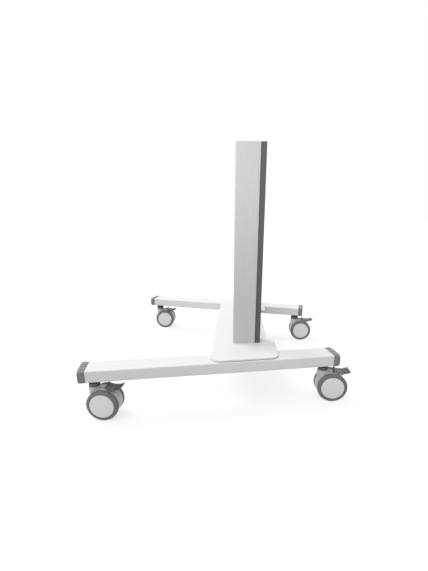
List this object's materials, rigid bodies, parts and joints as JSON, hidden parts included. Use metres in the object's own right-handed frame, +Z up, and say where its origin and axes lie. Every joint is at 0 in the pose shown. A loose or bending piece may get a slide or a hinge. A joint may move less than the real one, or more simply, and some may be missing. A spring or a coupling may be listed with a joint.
{
  "type": "mobile tv stand",
  "caption": "Rolling stand: two upright profiles on a flat plate over splayed tube legs, with twin-wheel casters and brake pedals.",
  "frame": {"origin": "floor under the middle of the stand's box, in plan", "axes": "+X to the stand's right leg, along its widest side; +Y to the rear, where the casters trail and the cable channels are; +Z up"},
  "size_m": [0.7368, 0.6454, 0.6156],
  "materials": {
    "white_powder_coat": "white powder coat, satin",
    "silver_anodised_aluminium": "silver anodised, matt",
    "dark_grey_profile": "dark grey extruded plastic, matt",
    "grey_polypropylene": "moulded grey, matt",
    "light_grey_nylon": "moulded light grey, satin",
    "pale_grey_nylon": "moulded pale grey, satin",
    "grey_soft_tread": "soft grey tread, matt",
    "dark_grey_nylon": "moulded dark grey, fine grain",
    "zinc_plated_steel": "bright zinc plate",
    "blackened_steel": "blackened, satin",
    "cast_aluminium": "as cast, tumbled"
  },
  "bodies": {
    "root": {"base_plate": "white_powder_coat", "leg_right": "white_powder_coat", "leg_nut_front_right": "zinc_plated_steel", "end_cap_front_right": "grey_polypropylene", "post_screw_front_right": "zinc_plated_steel", "leg_nut_rear_right": "zinc_plated_steel", "end_cap_rear_right": "grey_polypropylene", "post_screw_rear_right": "zinc_plated_steel", "post_right": "silver_anodised_aluminium", "post_cover_right": "dark_grey_profile", "post_foot_right": "cast_aluminium", "post_head_right": "cast_aluminium", "leg_left": "white_powder_coat", "leg_nut_front_left": "zinc_plated_steel", "end_cap_front_left": "grey_polypropylene", "post_screw_front_left": "zinc_plated_steel", "leg_nut_rear_left": "zinc_plated_steel", "end_cap_rear_left": "grey_polypropylene", "post_screw_rear_left": "zinc_plated_steel", "post_left": "silver_anodised_aluminium", "post_cover_left": "dark_grey_profile", "post_foot_left": "cast_aluminium", "post_head_left": "cast_aluminium", "caster_stem_front_right": "blackened_steel", "caster_stem_front_left": "blackened_steel", "caster_stem_rear_right": "blackened_steel", "caster_stem_rear_left": "blackened_steel"},
    "swivel_front_right": {"caster_hood_front_right": "light_grey_nylon", "axle_front_right": "zinc_plated_steel", "pedal_pin_front_right": "zinc_plated_steel"},
    "wheel_front_right_a": {"hub_front_right_a": "pale_grey_nylon", "tyre_front_right_a": "grey_soft_tread"},
    "wheel_front_right_b": {"hub_front_right_b": "pale_grey_nylon", "tyre_front_right_b": "grey_soft_tread"},
    "pedal_front_right": {"brake_pedal_front_right": "dark_grey_nylon"},
    "swivel_front_left": {"caster_hood_front_left": "light_grey_nylon", "axle_front_left": "zinc_plated_steel", "pedal_pin_front_left": "zinc_plated_steel"},
    "wheel_front_left_a": {"hub_front_left_a": "pale_grey_nylon", "tyre_front_left_a": "grey_soft_tread"},
    "wheel_front_left_b": {"hub_front_left_b": "pale_grey_nylon", "tyre_front_left_b": "grey_soft_tread"},
    "pedal_front_left": {"brake_pedal_front_left": "dark_grey_nylon"},
    "swivel_rear_right": {"caster_hood_rear_right": "light_grey_nylon", "axle_rear_right": "zinc_plated_steel", "pedal_pin_rear_right": "zinc_plated_steel"},
    "wheel_rear_right_a": {"hub_rear_right_a": "pale_grey_nylon", "tyre_rear_right_a": "grey_soft_tread"},
    "wheel_rear_right_b": {"hub_rear_right_b": "pale_grey_nylon", "tyre_rear_right_b": "grey_soft_tread"},
    "pedal_rear_right": {"brake_pedal_rear_right": "dark_grey_nylon"},
    "swivel_rear_left": {"caster_hood_rear_left": "light_grey_nylon", "axle_rear_left": "zinc_plated_steel", "pedal_pin_rear_left": "zinc_plated_steel"},
    "wheel_rear_left_a": {"hub_rear_left_a": "pale_grey_nylon", "tyre_rear_left_a": "grey_soft_tread"},
    "wheel_rear_left_b": {"hub_rear_left_b": "pale_grey_nylon", "tyre_rear_left_b": "grey_soft_tread"},
    "pedal_rear_left": {"brake_pedal_rear_left": "dark_grey_nylon"}
  },
  "joints": [
    {"name": "swivel_turn_front_right", "type": "hinge", "parent": "root", "child": "swivel_front_right", "pos_m": [0.33503, -0.28924, 0.0783], "axis": [0, 0, 1], "continuous": true},
    {"name": "wheel_spin_front_right_a", "type": "hinge", "parent": "swivel_front_right", "child": "wheel_front_right_a", "pos_m": [0.33503, -0.26704, 0.03726], "axis": [1, 0, 0], "continuous": true},
    {"name": "wheel_spin_front_right_b", "type": "hinge", "parent": "swivel_front_right", "child": "wheel_front_right_b", "pos_m": [0.33503, -0.26704, 0.03726], "axis": [1, 0, 0], "continuous": true},
    {"name": "pedal_press_front_right", "type": "hinge", "parent": "swivel_front_right", "child": "pedal_front_right", "pos_m": [0.33503, -0.25824, 0.0724], "axis": [-1, 0, 0], "range_deg": [0, 10]},
    {"name": "swivel_turn_front_left", "type": "hinge", "parent": "root", "child": "swivel_front_left", "pos_m": [-0.33503, -0.28924, 0.0783], "axis": [0, 0, 1], "continuous": true},
    {"name": "wheel_spin_front_left_a", "type": "hinge", "parent": "swivel_front_left", "child": "wheel_front_left_a", "pos_m": [-0.33503, -0.26704, 0.03726], "axis": [1, 0, 0], "continuous": true},
    {"name": "wheel_spin_front_left_b", "type": "hinge", "parent": "swivel_front_left", "child": "wheel_front_left_b", "pos_m": [-0.33503, -0.26704, 0.03726], "axis": [1, 0, 0], "continuous": true},
    {"name": "pedal_press_front_left", "type": "hinge", "parent": "swivel_front_left", "child": "pedal_front_left", "pos_m": [-0.33503, -0.25824, 0.0724], "axis": [-1, 0, 0], "range_deg": [0, 10]},
    {"name": "swivel_turn_rear_right", "type": "hinge", "parent": "root", "child": "swivel_rear_right", "pos_m": [0.2198, 0.25755, 0.0783], "axis": [0, 0, 1], "continuous": true},
    {"name": "wheel_spin_rear_right_a", "type": "hinge", "parent": "swivel_rear_right", "child": "wheel_rear_right_a", "pos_m": [0.2198, 0.27975, 0.03726], "axis": [1, 0, 0], "continuous": true},
    {"name": "wheel_spin_rear_right_b", "type": "hinge", "parent": "swivel_rear_right", "child": "wheel_rear_right_b", "pos_m": [0.2198, 0.27975, 0.03726], "axis": [1, 0, 0], "continuous": true},
    {"name": "pedal_press_rear_right", "type": "hinge", "parent": "swivel_rear_right", "child": "pedal_rear_right", "pos_m": [0.2198, 0.28855, 0.0724], "axis": [-1, 0, 0], "range_deg": [0, 10]},
    {"name": "swivel_turn_rear_left", "type": "hinge", "parent": "root", "child": "swivel_rear_left", "pos_m": [-0.2198, 0.25755, 0.0783], "axis": [0, 0, 1], "continuous": true},
    {"name": "wheel_spin_rear_left_a", "type": "hinge", "parent": "swivel_rear_left", "child": "wheel_rear_left_a", "pos_m": [-0.2198, 0.27975, 0.03726], "axis": [1, 0, 0], "continuous": true},
    {"name": "wheel_spin_rear_left_b", "type": "hinge", "parent": "swivel_rear_left", "child": "wheel_rear_left_b", "pos_m": [-0.2198, 0.27975, 0.03726], "axis": [1, 0, 0], "continuous": true},
    {"name": "pedal_press_rear_left", "type": "hinge", "parent": "swivel_rear_left", "child": "pedal_rear_left", "pos_m": [-0.2198, 0.28855, 0.0724], "axis": [-1, 0, 0], "range_deg": [0, 10]}
  ]
}
